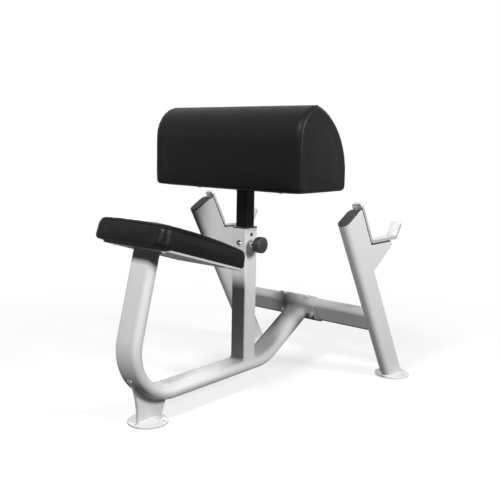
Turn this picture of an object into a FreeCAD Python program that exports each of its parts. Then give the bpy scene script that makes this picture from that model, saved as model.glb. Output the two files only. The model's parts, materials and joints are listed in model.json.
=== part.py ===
"""Preacher curl bench: a bent flat-oval rail that carries a seat, a sprung height lock with a
sliding arm pad, and a leaning rack with two bar hooks.

Millimetres and degrees. X runs from the seat towards the rack, Y to the left, Z up.
The origin is on the floor, on the axis of the pad's post.
"""
import FreeCAD
import Part
import math
import os

from FreeCAD import Placement, Rotation, Vector

# Flat-oval tube of the rail, the uprights and the cross tube
tube_depth = 95.0
tube_width = 40.0
tube_wall = 2.5

# Centre line of the main rail, measured from the post's axis
rail_clearance = 62.0
leg_corner_reach = 560.0
leg_lean = 14.5
leg_length = 461.0
leg_bend_radius = 150.0
rack_corner_reach = 86.0
rack_lean = 29.8
rise_length = 294.0
rack_bend_radius = 165.0

# Rack
upright_half_span = 330.0
upright_rise = 437.0
cap_flange = 5.0
cap_edge_radius = 3.5
cap_plug_length = 22.0
cap_plug_gap = 0.2

# Round foot plates and the floor bolts that they take
foot_plate_diameter = 125.0
foot_plate_thickness = 6.0
foot_plate_edge = 1.5
floor_hole_diameter = 11.0
seat_foot_hole_circle = 102.0
rack_foot_hole_spacing = 90.0
seat_foot_reach = 443.0

# Plate on edge between the seat end of the rail and its foot plate
foot_gusset_thickness = 10.0
foot_gusset_front = 52.0
foot_gusset_front_flare = 29.0
foot_gusset_back = 44.0
foot_gusset_waist_flare = 4.0
foot_gusset_horn_flare = 30.0
foot_gusset_horn_height = 152.0

# Saddle that bolts the rail to the cross tube
saddle_half_width = 86.0
saddle_thickness = 5.0
saddle_gap = 0.2
saddle_top_wrap = 118.0
saddle_bottom_wrap = 78.0
saddle_front_bolt_y = 66.0
saddle_front_bolt_drop = 6.0
saddle_top_bolt_y = 52.0

# Bar hooks with their backing strips and side plates
hook_width = 38.0
hook_thickness = 10.0
hook_bend_radius = 12.0
hook_top_stand = 15.0
hook_seat_height = 509.5
hook_seat_depth = 166.0
hook_lip_length = 62.0
hook_lip_lean = 35.0
hook_corner_radius = 9.0
liner_thickness = 5.5
liner_width = 36.0
liner_top_drop = 16.0
liner_seat_length = 132.0
hook_plate_thickness = 5.0
hook_plate_stand = 10.0
hook_plate_top_drop = 4.0
hook_plate_reach = 160.0
hook_plate_drop = 90.0
hook_plate_tip_radius = 8.0

# Sleeve, its moulded bush and the sliding post
sleeve_side = 60.0
sleeve_wall = 3.0
sleeve_corner_radius = 5.0
sleeve_height = 456.0
bush_wall = 4.5
bush_length = 90.0
bush_flange = 4.0
bush_flange_overhang = 1.0
slide_gap = 0.05
post_wall = 3.0
post_corner_radius = 4.0
post_extension = 130.0
post_engagement = 300.0
lock_pitch = 30.0
lock_holes_above = 1
lock_holes_below = 5
bush_window_diameter = 15.0
bush_window_drop = 22.0
button_hole_diameter = 23.0
button_diameter = 16.0
button_height = 6.0
button_edge = 2.0
button_drop = 52.0
button_gap = 0.3

# Sprung pull pin on the sleeve
pin_drop = 53.0
pin_diameter = 10.0
pin_gap = 0.05
pin_hole_gap = 0.4
pin_reach = 5.0
pin_nose_chamfer = 1.5
barrel_diameter = 20.0
barrel_length = 14.0
barrel_flange_diameter = 26.0
barrel_flange = 5.0
barrel_edge = 1.2
knob_gap = 1.0
knob_diameter = 55.0
knob_length = 38.0
knob_neck_diameter = 30.0
knob_neck_length = 4.0
knob_rim_height = 20.0
knob_edge_radius = 5.5
knob_dome = 2.5
knob_seat_depth = 20.0
knob_flare_out_share = 0.6
knob_flare_up_share = 0.22

# Arm pad, the board inside it and the mounting plate on the post
pad_length = 616.0
pad_depth = 258.0
pad_user_reach = 123.0
pad_user_face = 160.0
pad_rack_face = 52.0
pad_shoulder_radius = 107.0
pad_crest_radius = 38.0
pad_slope_radius = 220.0
pad_user_low_radius = 14.0
pad_rack_low_radius = 18.0
pad_end_radius = 15.0
pad_board_thickness = 12.0
pad_board_margin = 24.0
pad_board_corner = 12.0
pad_plate_length = 390.0
pad_plate_width = 108.0
pad_plate_thickness = 6.0
pad_plate_corner = 12.0
pad_bolt_side_margin = 16.0
pad_bolt_end_margin = 17.0

# Seat
seat_tilt = 16.5
seat_length = 376.0
seat_width = 302.0
seat_back_overhang = 89.0
seat_corner_radius = 28.0
seat_front_height = 58.0
seat_back_height = 68.0
seat_crown = 8.0
seat_side_draw = 26.0
seat_height_shares = (0.0, 0.19, 0.63, 0.87, 1.0, 1.15)
seat_draw_shares = (0.11, 0.0, 0.08, 0.23, 0.5, 1.0)
seat_board_thickness = 12.0
seat_board_margin = 14.0
seat_plate_thickness = 6.0
seat_plate_side_margin = 5.0
seat_plate_back_margin = 30.0
seat_plate_corner = 26.0
seat_bolt_side = 44.0
seat_bolt_front = 45.0
seat_bolt_back = 54.0

# Pocket of a cushion round its board
board_gap = 0.2

# Bolts
bolt_diameter = 8.0
bolt_flats = 13.0
bolt_head = 5.5
bolt_washer_diameter = 17.0
bolt_washer = 1.6
bolt_hole_gap = 0.5
bolt_grip = 14.0
button_head_diameter = 16.0
button_head = 3.5

# Length that a cutter runs past the piece it cuts
overrun = 5.0

ALONG_X = Vector(1, 0, 0)
ALONG_Y = Vector(0, 1, 0)
ALONG_Z = Vector(0, 0, 1)

rail_height = rail_clearance + tube_width / 2
rail_top = rail_clearance + tube_width
sleeve_top = rail_top + sleeve_height
bush_side = sleeve_side - 2 * sleeve_wall
bush_bore = bush_side - 2 * bush_wall
post_side = bush_bore - 2 * slide_gap
post_top = sleeve_top + post_extension
pin_height = sleeve_top - pin_drop
pin_hole_diameter = pin_diameter + 2 * pin_hole_gap
flat_half = (tube_depth - tube_width) / 2

lean = math.radians(rack_lean)
UP_RACK = Vector(-math.sin(lean), 0, math.cos(lean))
OFF_RACK = Vector(math.cos(lean), 0, math.sin(lean))
rack_corner = Vector(rack_corner_reach, 0, rail_height)
rack_centre = rack_corner + OFF_RACK * rise_length

leg_angle = math.radians(leg_lean)
UP_LEG = Vector(math.sin(leg_angle), 0, math.cos(leg_angle))
leg_corner = Vector(-leg_corner_reach, 0, rail_height)
leg_top = leg_corner + UP_LEG * leg_length

tilt = math.radians(seat_tilt)
ALONG_SEAT = Vector(math.cos(tilt), 0, -math.sin(tilt))
UP_SEAT = Vector(math.sin(tilt), 0, math.cos(tilt))
seat_centre = leg_top + ALONG_SEAT * (seat_length / 2 - seat_back_overhang)


def placed(shape, origin, x_axis, z_axis):
    """Move a shape from the origin to a point, its X and Z turned to the given directions."""
    moved = shape.copy()
    moved.Placement = Placement(origin, Rotation(x_axis, z_axis.cross(x_axis), z_axis, "ZXY"))
    return moved


def oval_wire(depth, width):
    """Flat-oval outline on the XY plane, its long side along X."""
    half = (depth - width) / 2
    radius = width / 2
    upper = Part.makeLine(Vector(half, radius, 0), Vector(-half, radius, 0))
    back = Part.Arc(Vector(-half, radius, 0), Vector(-half - radius, 0, 0), Vector(-half, -radius, 0))
    lower = Part.makeLine(Vector(-half, -radius, 0), Vector(half, -radius, 0))
    front = Part.Arc(Vector(half, -radius, 0), Vector(half + radius, 0, 0), Vector(half, radius, 0))
    return Part.Wire([upper, back.toShape(), lower, front.toShape()])


def box_wire(length, width, radius):
    """Rectangle with rounded corners on the XY plane, centred on the origin."""
    block = Part.makePlane(length, width, Vector(-length / 2, -width / 2, 0))
    solid = block.extrude(ALONG_Z * radius)
    uprights = [e for e in solid.Edges if e.BoundBox.ZLength > radius / 2]
    rounded = solid.makeFillet(radius, uprights)
    floor = min(rounded.Faces, key=lambda f: f.CenterOfMass.z)
    return floor.OuterWire


def prism(wires, height):
    """Straight solid on the XY plane inside the first wire, open inside the others."""
    solid = Part.Face(wires[0]).extrude(ALONG_Z * height)
    for wire in wires[1:]:
        solid = solid.cut(Part.Face(wire).extrude(ALONG_Z * height))
    return solid


def bore(diameter, start, direction, length):
    """Round cutter from a point along a direction."""
    return Part.makeCylinder(diameter / 2, length, start, direction)


def turned(points, origin, direction):
    """Solid of revolution: radius and height pairs turned about an axis through a point."""
    corners = [Vector(radius, 0, height) for radius, height in points]
    face = Part.Face(Part.makePolygon(corners + corners[:1]))
    solid = face.revolve(Vector(0, 0, 0), ALONG_Z, 360)
    solid.Placement = Placement(origin, Rotation(ALONG_Z, direction))
    return solid


def bent_bar(points, radii, section):
    """Solid of a closed section along straight runs in the XZ plane, joined by round bends."""
    face = Part.Face(section)
    pieces = []
    start = points[0]
    for corner, after, radius in zip(points[1:-1], points[2:], radii):
        into = (corner - start).normalize()
        out = (after - corner).normalize()
        turn = into.getAngle(out)
        tangent = radius * math.tan(turn / 2)
        begin = corner - into * tangent
        axis = into.cross(out).normalize()
        hinge = begin + axis.cross(into) * radius
        pieces.append(placed(face, start, ALONG_Y, into).extrude(begin - start))
        pieces.append(placed(face, begin, ALONG_Y, into).revolve(hinge, axis, math.degrees(turn)))
        start = corner + out * tangent
    last = points[-1] - start
    heading = Vector(last).normalize()
    pieces.append(placed(face, start, ALONG_Y, heading).extrude(last))
    return pieces[0].fuse(pieces[1:]).removeSplitter()


def below(height, reach):
    """Block under a level plane, wide enough to trim any piece within the reach."""
    return Part.makeBox(2 * reach, 2 * reach, reach, Vector(-reach, -reach, height - reach))


def hex_bolt(seat, direction, grip):
    """Bolt whose washer lies on the seat point, its shank running along the direction."""
    radius = bolt_flats / math.sqrt(3)
    corners = []
    for step in range(7):
        angle = math.radians(60 * step)
        corners.append(Vector(radius * math.cos(angle), radius * math.sin(angle), 0))
    head = Part.Face(Part.makePolygon(corners)).extrude(ALONG_Z * bolt_head)
    head.translate(ALONG_Z * bolt_washer)
    washer = Part.makeCylinder(bolt_washer_diameter / 2, bolt_washer)
    shank = Part.makeCylinder(bolt_diameter / 2, grip, Vector(0, 0, 0), ALONG_Z * -1)
    bolt = head.fuse([washer, shank]).removeSplitter()
    bolt.Placement = Placement(seat, Rotation(ALONG_Z, direction * -1))
    return bolt


def button_bolt(seat, direction, grip):
    """Low round-headed bolt whose head lies on the seat point, its shank running along the direction."""
    head = button_head_diameter / 2
    shank = bolt_diameter / 2
    profile = [(0, -button_head), (head - button_head, -button_head), (head, 0),
               (shank, 0), (shank, grip), (0, grip)]
    return turned(profile, seat, direction)


def bolt_hole(seat, direction, length):
    """Clearance cutter for a bolt's shank, from behind its seat."""
    start = seat - direction * overrun
    return bore(bolt_diameter + 2 * bolt_hole_gap, start, direction, length + overrun)


def rail_bar(depth, width):
    """Flat-oval bar from above the seat plate, down the leg, along the floor and up to the saddle."""
    above_seat = leg_top + UP_LEG * tube_depth
    rail_end = rack_centre - OFF_RACK * (tube_width / 2 + saddle_gap + saddle_thickness)
    points = [above_seat, leg_corner, rack_corner, rail_end]
    return bent_bar(points, [leg_bend_radius, rack_bend_radius], oval_wire(depth, width))


def main_rail():
    """One length of flat-oval tube: leg, floor run and rise to the rack, open at both ends."""
    tube = rail_bar(tube_depth, tube_width)
    tube = tube.cut(rail_bar(tube_depth - 2 * tube_wall, tube_width - 2 * tube_wall))
    reach = 3 * tube_depth
    above = Part.makeBox(reach, reach, reach, Vector(-reach / 2, -reach / 2, 0))
    return tube.cut(placed(above, leg_top, ALONG_SEAT, UP_SEAT))


def foot_plate(hole_places):
    """Round plate with a broken upper edge and floor-bolt holes."""
    radius = foot_plate_diameter / 2
    plate = turned([(0, 0), (radius, 0), (radius, foot_plate_thickness - foot_plate_edge),
                    (radius - foot_plate_edge, foot_plate_thickness), (0, foot_plate_thickness)],
                   Vector(0, 0, 0), ALONG_Z)
    for place in hole_places:
        start = place - ALONG_Z * overrun
        plate = plate.cut(bore(floor_hole_diameter, start, ALONG_Z, foot_plate_thickness + 2 * overrun))
    return plate


def seat_foot_plate():
    """Foot plate under the seat end, with three floor holes, one of them behind the gusset."""
    places = []
    for turn in (60, 180, 300):
        angle = math.radians(turn)
        places.append(Vector(math.cos(angle), math.sin(angle), 0) * (seat_foot_hole_circle / 2))
    plate = foot_plate(places)
    plate.translate(ALONG_X * -seat_foot_reach)
    return plate


def seat_foot_gusset():
    """Plate on edge on the seat's foot plate, coped to the underside of the rail's bend, with a horn."""
    back = -seat_foot_reach - foot_gusset_back
    front = -seat_foot_reach + foot_gusset_front
    waist_height = (foot_plate_thickness + foot_gusset_horn_height) / 2
    heel = Vector(back, 0, foot_plate_thickness)
    waist = Vector(back - foot_gusset_waist_flare, 0, waist_height)
    horn = Vector(back - foot_gusset_horn_flare, 0, foot_gusset_horn_height)
    inside = Vector(front + foot_gusset_front_flare, 0, foot_gusset_horn_height)
    brow = Vector(front + foot_gusset_front_flare, 0, rail_height)
    toe = Vector(front, 0, foot_plate_thickness)
    edges = [Part.Arc(heel, waist, horn).toShape(), Part.makeLine(horn, inside), Part.makeLine(inside, brow),
             Part.makeLine(brow, toe), Part.makeLine(toe, heel)]
    blank = Part.Face(Part.Wire(edges)).extrude(ALONG_Y * foot_gusset_thickness)
    blank.translate(ALONG_Y * (-foot_gusset_thickness / 2))
    pieces = blank.cut(rail_bar(tube_depth, tube_width)).Solids
    return min(pieces, key=lambda piece: piece.CenterOfMass.z)


def upright_origin(side):
    """Crossing of an upright's axis with the cross tube's level, on the left (1) or right (-1)."""
    return rack_centre + ALONG_Y * (side * upright_half_span)


def upright_bar(side, depth, width):
    """Flat-oval bar of an upright from under the floor to its top end."""
    drop = rack_centre.z / math.cos(lean) + tube_depth
    bar = Part.Face(oval_wire(depth, width)).extrude(ALONG_Z * (drop + upright_rise))
    return placed(bar, upright_origin(side) - UP_RACK * drop, OFF_RACK, UP_RACK)


def upright(side):
    """Open upright tube, cut level where it stands on its foot plate."""
    tube = upright_bar(side, tube_depth, tube_width)
    tube = tube.cut(upright_bar(side, tube_depth - 2 * tube_wall, tube_width - 2 * tube_wall))
    return tube.cut(below(foot_plate_thickness, 3 * upright_half_span))


def upright_cap(side):
    """Moulded end cap: rounded flange over the tube's end and a plug inside it."""
    flange = prism([oval_wire(tube_depth, tube_width)], cap_flange)
    rim = [e for e in flange.Edges if e.BoundBox.ZMin > cap_flange / 2]
    flange = flange.makeFillet(cap_edge_radius, rim)
    trim = 2 * (tube_wall + cap_plug_gap)
    plug = prism([oval_wire(tube_depth - trim, tube_width - trim)], cap_plug_length)
    plug.translate(ALONG_Z * -cap_plug_length)
    cap = flange.fuse(plug).removeSplitter()
    return placed(cap, upright_origin(side) + UP_RACK * upright_rise, OFF_RACK, UP_RACK)


def rack_foot_plate(side):
    """Foot plate centred under an upright, with a floor hole on each side of the tube."""
    half = rack_foot_hole_spacing / 2
    plate = foot_plate([ALONG_Y * half, ALONG_Y * -half])
    floor_x = rack_centre.x + rack_centre.z * math.tan(lean)
    plate.translate(Vector(floor_x, side * upright_half_span, 0))
    return plate


def saddle_bolt_seats():
    """Seat point and shank direction of each saddle bolt."""
    face = tube_width / 2 + saddle_gap + saddle_thickness
    seats = []
    for side in (1, -1):
        front = rack_centre - OFF_RACK * face - UP_RACK * saddle_front_bolt_drop
        seats.append((front + ALONG_Y * (side * saddle_front_bolt_y), OFF_RACK))
        crest = rack_centre + UP_RACK * (flat_half + face)
        seats.append((crest + ALONG_Y * (side * saddle_top_bolt_y), UP_RACK * -1))
    return seats


def cross_tube():
    """Flat-oval tube between the uprights' flat sides, bored for the saddle bolts."""
    length = 2 * upright_half_span - tube_width
    outside = Part.Face(oval_wire(tube_depth, tube_width)).extrude(ALONG_Z * length)
    inside = oval_wire(tube_depth - 2 * tube_wall, tube_width - 2 * tube_wall)
    tube = outside.cut(Part.Face(inside).extrude(ALONG_Z * length))
    tube = placed(tube, rack_centre - ALONG_Y * (length / 2), UP_RACK, ALONG_Y)
    for seat, direction in saddle_bolt_seats():
        tube = tube.cut(bolt_hole(seat, direction, bolt_grip))
    return tube


def saddle_bracket():
    """Plate bent round the front, top and underside of the cross tube, with the rail on its front."""
    inner = tube_width / 2 + saddle_gap
    outer = inner + saddle_thickness

    def on_arc(radius, centre, degrees):
        angle = math.radians(degrees)
        return Vector(radius * math.cos(angle), centre + radius * math.sin(angle), 0)

    upper = 180 - saddle_top_wrap
    lower = 180 + saddle_bottom_wrap
    edges = []
    for radius in (inner, outer):
        top = [on_arc(radius, flat_half, turn) for turn in (upper, (upper + 180) / 2, 180)]
        bottom = [on_arc(radius, -flat_half, turn) for turn in (180, (lower + 180) / 2, lower)]
        edges.append(Part.Arc(*top).toShape())
        edges.append(Part.makeLine(top[2], bottom[0]))
        edges.append(Part.Arc(*bottom).toShape())
    edges.append(Part.makeLine(on_arc(inner, flat_half, upper), on_arc(outer, flat_half, upper)))
    edges.append(Part.makeLine(on_arc(inner, -flat_half, lower), on_arc(outer, -flat_half, lower)))
    profile = Part.Wire(Part.__sortEdges__(edges))
    plate = Part.Face(profile).extrude(ALONG_Z * (2 * saddle_half_width))
    plate = placed(plate, rack_centre + ALONG_Y * saddle_half_width, OFF_RACK, ALONG_Y * -1)
    for seat, direction in saddle_bolt_seats():
        plate = plate.cut(bolt_hole(seat, direction, bolt_grip))
    return plate


def saddle_bolts():
    """Two bolts through the saddle's front and two through its top, into the cross tube."""
    return Part.makeCompound([hex_bolt(seat, direction, bolt_grip) for seat, direction in saddle_bolt_seats()])


def hook_corner(side, stand_off):
    """Meeting of a hook's back line and its seat level, both stood off alike from the side plates."""
    edge = upright_origin(side) + OFF_RACK * (tube_depth / 2 + hook_plate_stand + stand_off)
    rise = (hook_seat_height + stand_off - edge.z) / UP_RACK.z
    return edge + UP_RACK * rise


def hook_back_length(stand_off):
    """Length of a hook's back run from its corner to the level of the upright's end."""
    corner = hook_corner(0, stand_off) - rack_centre
    return upright_rise - corner.dot(UP_RACK)


def flat_strip(points, radius, width, thickness):
    """Flat bar, its width along Y, bent through points of the XZ plane."""
    half = Vector(width / 2, 0, 0)
    rise = Vector(0, thickness / 2, 0)
    section = Part.makePolygon([half + rise, rise - half, half * -1 - rise, half - rise, half + rise])
    return bent_bar(points, [radius] * (len(points) - 2), section)


def bar_hook(side):
    """Bent flat bar: back run along the upright, level seat for the bar and an outward lip."""
    middle = liner_thickness + hook_thickness / 2
    corner = hook_corner(side, middle)
    top = corner + UP_RACK * (hook_back_length(middle) + hook_top_stand)
    heel = corner + ALONG_X * hook_seat_depth
    angle = math.radians(hook_lip_lean)
    lip = heel + Vector(math.sin(angle), 0, math.cos(angle)) * hook_lip_length
    strip = flat_strip([top, corner, heel, lip], hook_bend_radius, hook_width, hook_thickness)
    corners = []
    for end in (top, lip):
        end_face = min(strip.Faces, key=lambda face: face.CenterOfMass.distanceToPoint(end))
        corners += sorted(end_face.Edges, key=lambda edge: edge.Length)[:2]
    return strip.makeFillet(hook_corner_radius, corners)


def hook_liner(side):
    """Black backing strip between a hook and its side plates."""
    middle = liner_thickness / 2
    corner = hook_corner(side, middle)
    top = corner + UP_RACK * (hook_back_length(middle) - liner_top_drop)
    end = corner + ALONG_X * liner_seat_length
    radius = hook_bend_radius + hook_thickness / 2 + middle
    return flat_strip([top, corner, end], radius, liner_width, liner_thickness)


def hook_plate(side, face):
    """Side plate flush with one flat side of the upright, notched for the hook and coped to the tube."""
    corner = hook_corner(side, 0)
    top = corner + UP_RACK * (hook_back_length(0) - hook_plate_top_drop)
    tip = corner + ALONG_X * hook_plate_reach
    foot = corner - UP_RACK * hook_plate_drop
    inward = OFF_RACK * (-hook_plate_stand - tube_width / 2)
    corners = [top + inward, top, corner, tip, foot, foot + inward, top + inward]
    blank = Part.Face(Part.makePolygon(corners)).extrude(ALONG_Y * hook_plate_thickness)
    tip_middle = tip + ALONG_Y * (hook_plate_thickness / 2)
    tip_edge = min(blank.Edges, key=lambda edge: edge.CenterOfMass.distanceToPoint(tip_middle))
    blank = blank.makeFillet(hook_plate_tip_radius, [tip_edge])
    outer = face * (tube_width / 2 - hook_plate_thickness / 2)
    blank.translate(ALONG_Y * (outer - hook_plate_thickness / 2))
    pieces = blank.cut(upright_bar(side, tube_depth, tube_width)).Solids
    return max(pieces, key=lambda piece: piece.Volume)


def post_sleeve():
    """Square tube standing on the rail, with the pin hole, the bush window and the button hole."""
    inner_radius = sleeve_corner_radius - sleeve_wall
    outer = box_wire(sleeve_side, sleeve_side, sleeve_corner_radius)
    tube = prism([outer, box_wire(bush_side, bush_side, inner_radius)], sleeve_height)
    tube.translate(ALONG_Z * rail_top)
    centre = Vector(0, 0, pin_height)
    window = Vector(0, 0, sleeve_top - bush_window_drop)
    button = Vector(0, 0, sleeve_top - button_drop)
    tube = tube.cut(bore(pin_hole_diameter, centre, ALONG_Y * -1, sleeve_side))
    tube = tube.cut(bore(bush_window_diameter, window, ALONG_Y * -1, sleeve_side))
    return tube.cut(bore(button_hole_diameter, button, ALONG_X * -1, sleeve_side))


def sleeve_bush():
    """Moulded liner in the sleeve's mouth with a flange over its rim and a hole for the pin."""
    inner_radius = sleeve_corner_radius - sleeve_wall
    body = prism([box_wire(bush_side, bush_side, inner_radius)], bush_length)
    body.translate(ALONG_Z * -bush_length)
    rim_side = sleeve_side + 2 * bush_flange_overhang
    rim = prism([box_wire(rim_side, rim_side, sleeve_corner_radius)], bush_flange)
    bush = body.fuse(rim).removeSplitter()
    opening = prism([box_wire(bush_bore, bush_bore, post_corner_radius + slide_gap)], bush_length + bush_flange)
    opening.translate(ALONG_Z * -bush_length)
    bush = bush.cut(opening)
    bush.translate(ALONG_Z * sleeve_top)
    return bush.cut(bore(pin_hole_diameter, Vector(0, 0, pin_height), ALONG_Y * -1, sleeve_side))


def bush_button():
    """Bright rivet on the bush, low in the hole on the sleeve's seat side."""
    slack = (button_hole_diameter - button_diameter) / 2 - button_gap
    aside = slack * math.sqrt(1 / 2)
    seat = Vector(-bush_side / 2, -aside, sleeve_top - button_drop - aside)
    radius = button_diameter / 2
    profile = [(0, 0), (radius, 0), (radius, button_height - button_edge),
               (radius - button_edge, button_height), (0, button_height)]
    return turned(profile, seat, ALONG_X * -1)


def pull_pin_barrel():
    """Turned barrel on the sleeve's side that guides the pull pin."""
    hole = pin_diameter / 2 + pin_gap
    flange = barrel_flange_diameter / 2
    body = barrel_diameter / 2
    profile = [(hole, 0), (flange, 0), (flange, barrel_flange - barrel_edge), (flange - barrel_edge, barrel_flange),
               (body, barrel_flange), (body, barrel_length - barrel_edge), (body - barrel_edge, barrel_length),
               (hole, barrel_length)]
    return turned(profile, Vector(0, -sleeve_side / 2, pin_height), ALONG_Y * -1)


def pull_pin_plunger():
    """Pin from its nose in the post's wall, through the barrel, into the knob."""
    nose = post_side / 2 - pin_reach
    length = sleeve_side / 2 + barrel_length + knob_gap + knob_seat_depth - nose
    radius = pin_diameter / 2
    profile = [(0, 0), (radius - pin_nose_chamfer, 0), (radius, pin_nose_chamfer), (radius, length), (0, length)]
    return turned(profile, Vector(0, -nose, pin_height), ALONG_Y * -1)


def pull_pin_knob():
    """Mushroom knob: straight neck, flared underside, round rim and a slightly domed face."""
    radius = knob_diameter / 2
    neck = knob_neck_diameter / 2
    edge = knob_edge_radius
    turn = math.sqrt(1 / 2)
    flare_out = (radius - neck) * knob_flare_out_share
    flare_up = (knob_rim_height - knob_neck_length) * knob_flare_up_share
    centre = Vector(0, 0, 0)
    foot = Vector(neck, 0, 0)
    waist = Vector(neck, 0, knob_neck_length)
    flare = waist + Vector(flare_out, 0, flare_up)
    rim_low = Vector(radius, 0, knob_rim_height)
    rim_side = Vector(radius, 0, knob_length - edge)
    rim_middle = rim_side + Vector(edge * turn - edge, 0, (edge - knob_dome) * turn)
    rim_top = Vector(radius - edge, 0, knob_length - knob_dome)
    ball = (rim_top.x ** 2 + knob_dome ** 2) / (2 * knob_dome)
    half_dome = math.asin(rim_top.x / ball) / 2
    dome_middle = Vector(ball * math.sin(half_dome), 0, knob_length - ball + ball * math.cos(half_dome))
    face = Vector(0, 0, knob_length)
    edges = [Part.makeLine(centre, foot), Part.makeLine(foot, waist), Part.Arc(waist, flare, rim_low).toShape(),
             Part.makeLine(rim_low, rim_side), Part.Arc(rim_side, rim_middle, rim_top).toShape(),
             Part.Arc(rim_top, dome_middle, face).toShape(), Part.makeLine(face, centre)]
    knob = Part.Face(Part.Wire(edges)).revolve(centre, ALONG_Z, 360)
    knob = knob.cut(bore(pin_diameter, centre, ALONG_Z, knob_seat_depth))
    seat = Vector(0, -sleeve_side / 2 - barrel_length - knob_gap, pin_height)
    knob.Placement = Placement(seat, Rotation(ALONG_Z, ALONG_Y * -1))
    return knob


def pad_post():
    """Square post that slides in the bush, with a row of lock holes towards the pull pin."""
    length = post_extension + post_engagement
    inner = post_side - 2 * post_wall
    outer = box_wire(post_side, post_side, post_corner_radius)
    tube = prism([outer, box_wire(inner, inner, post_corner_radius - post_wall)], length)
    tube.translate(ALONG_Z * (post_top - length))
    for step in range(-lock_holes_below, lock_holes_above + 1):
        height = pin_height + lock_pitch * step
        tube = tube.cut(bore(pin_hole_diameter, Vector(0, 0, height), ALONG_Y * -1, post_side))
    return tube


def pad_bolt_seats():
    """Points under the mounting plate where the pad's bolts sit."""
    x = pad_plate_width / 2 - pad_bolt_side_margin
    y = pad_plate_length / 2 - pad_bolt_end_margin
    return [Vector(across, along, post_top) for across in (-x, x) for along in (-y, y)]


def bored_up(plate, seats, direction):
    """A plate with a bolt hole along a direction from each seat."""
    for seat in seats:
        plate = plate.cut(bolt_hole(seat, direction, bolt_grip))
    return plate


def pad_mount_plate():
    """Long flat plate on top of the post that carries the pad."""
    plate = prism([box_wire(pad_plate_width, pad_plate_length, pad_plate_corner)], pad_plate_thickness)
    plate.translate(ALONG_Z * post_top)
    return bored_up(plate, pad_bolt_seats(), ALONG_Z)


def pad_bolts():
    """Bolts from under the mounting plate into the pad's board."""
    return Part.makeCompound([button_bolt(seat, ALONG_Z, bolt_grip) for seat in pad_bolt_seats()])


def pad_board_block(gap):
    """Block of the pad's board on the mounting plate, grown by a gap at its sides."""
    length = pad_depth - 2 * pad_board_margin + 2 * gap
    width = pad_length - 2 * pad_board_margin + 2 * gap
    block = prism([box_wire(length, width, pad_board_corner + gap)], pad_board_thickness)
    block.translate(Vector(pad_depth / 2 - pad_user_reach, 0, post_top + pad_plate_thickness))
    return block


def pad_board():
    """Board inside the pad's underside, bored for the pad's bolts."""
    return bored_up(pad_board_block(0), pad_bolt_seats(), ALONG_Z)


def circle_crossing(first, first_reach, second, second_reach):
    """Upper point at the given distances from two points of the XZ plane."""
    apart = (second - first).Length
    along = (first_reach ** 2 - second_reach ** 2 + apart ** 2) / (2 * apart)
    off = math.sqrt(first_reach ** 2 - along ** 2)
    direction = (second - first).normalize()
    normal = Vector(-direction.z, 0, direction.x)
    crossings = [first + direction * along + normal * (side * off) for side in (1, -1)]
    return max(crossings, key=lambda point: point.z)


def arc_between(centre, radius, begin, end):
    """Arc round a centre between two points on it, by the shorter way."""
    middle = ((begin - centre) + (end - centre)).normalize()
    return Part.Arc(begin, centre + middle * radius, end).toShape()


def pad_profile():
    """End outline of the arm pad: upright user face, rounded crest and long sloping arm face."""
    shoulder = Vector(pad_shoulder_radius, 0, pad_user_face)
    slope = Vector(pad_depth - pad_slope_radius, 0, pad_rack_face)
    crest = circle_crossing(shoulder, pad_shoulder_radius - pad_crest_radius,
                            slope, pad_slope_radius - pad_crest_radius)
    heel = Vector(pad_user_low_radius, 0, 0)
    user_low = Vector(0, 0, pad_user_low_radius)
    user_top = Vector(0, 0, pad_user_face)
    shoulder_end = crest + (crest - shoulder).normalize() * pad_crest_radius
    slope_start = crest + (crest - slope).normalize() * pad_crest_radius
    rack_top = Vector(pad_depth, 0, pad_rack_face)
    rack_low = Vector(pad_depth, 0, pad_rack_low_radius)
    toe = Vector(pad_depth - pad_rack_low_radius, 0, 0)
    return Part.Wire([
        arc_between(Vector(heel.x, 0, user_low.z), pad_user_low_radius, heel, user_low),
        Part.makeLine(user_low, user_top),
        arc_between(shoulder, pad_shoulder_radius, user_top, shoulder_end),
        arc_between(crest, pad_crest_radius, shoulder_end, slope_start),
        arc_between(slope, pad_slope_radius, slope_start, rack_top),
        Part.makeLine(rack_top, rack_low),
        arc_between(Vector(toe.x, 0, rack_low.z), pad_rack_low_radius, rack_low, toe),
        Part.makeLine(toe, heel)])


def preacher_pad():
    """Arm pad: its end outline drawn along the pad's length, with soft ends and a pocket for its board."""
    pad = Part.Face(pad_profile()).extrude(ALONG_Y * pad_length)
    ends = [edge for edge in pad.Edges if edge.BoundBox.YLength < pad_end_radius]
    pad = pad.makeFillet(pad_end_radius, ends)
    pad.translate(Vector(-pad_user_reach, -pad_length / 2, post_top + pad_plate_thickness))
    return pad.cut(pad_board_block(board_gap))


def on_seat(shape, ahead, height):
    """Place a shape ahead of the seat's middle, at a height above the leg's end."""
    return placed(shape, seat_centre + ALONG_SEAT * ahead + UP_SEAT * height, ALONG_SEAT, UP_SEAT)


def seat_bolt_seats():
    """Points under the seat plate where its bolts sit."""
    y = seat_width / 2 - seat_bolt_side
    front = seat_length / 2 - seat_bolt_front
    back = -seat_length / 2 + seat_bolt_back
    return [seat_centre + ALONG_SEAT * x + ALONG_Y * (side * y) for x in (front, back) for side in (1, -1)]


def seat_plate():
    """Steel plate on the leg's end, flush with the cushion's front and short of its back."""
    length = seat_length - seat_plate_back_margin
    width = seat_width - 2 * seat_plate_side_margin
    plate = prism([box_wire(length, width, seat_plate_corner)], seat_plate_thickness)
    return bored_up(on_seat(plate, seat_plate_back_margin / 2, 0), seat_bolt_seats(), UP_SEAT)


def seat_board_block(gap):
    """Block of the seat's board on the seat plate, grown by a gap at its sides."""
    trim = 2 * (seat_board_margin - gap)
    block = prism([box_wire(seat_length - trim, seat_width - trim, seat_corner_radius - seat_board_margin + gap)],
                  seat_board_thickness)
    return on_seat(block, 0, seat_plate_thickness)


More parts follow.
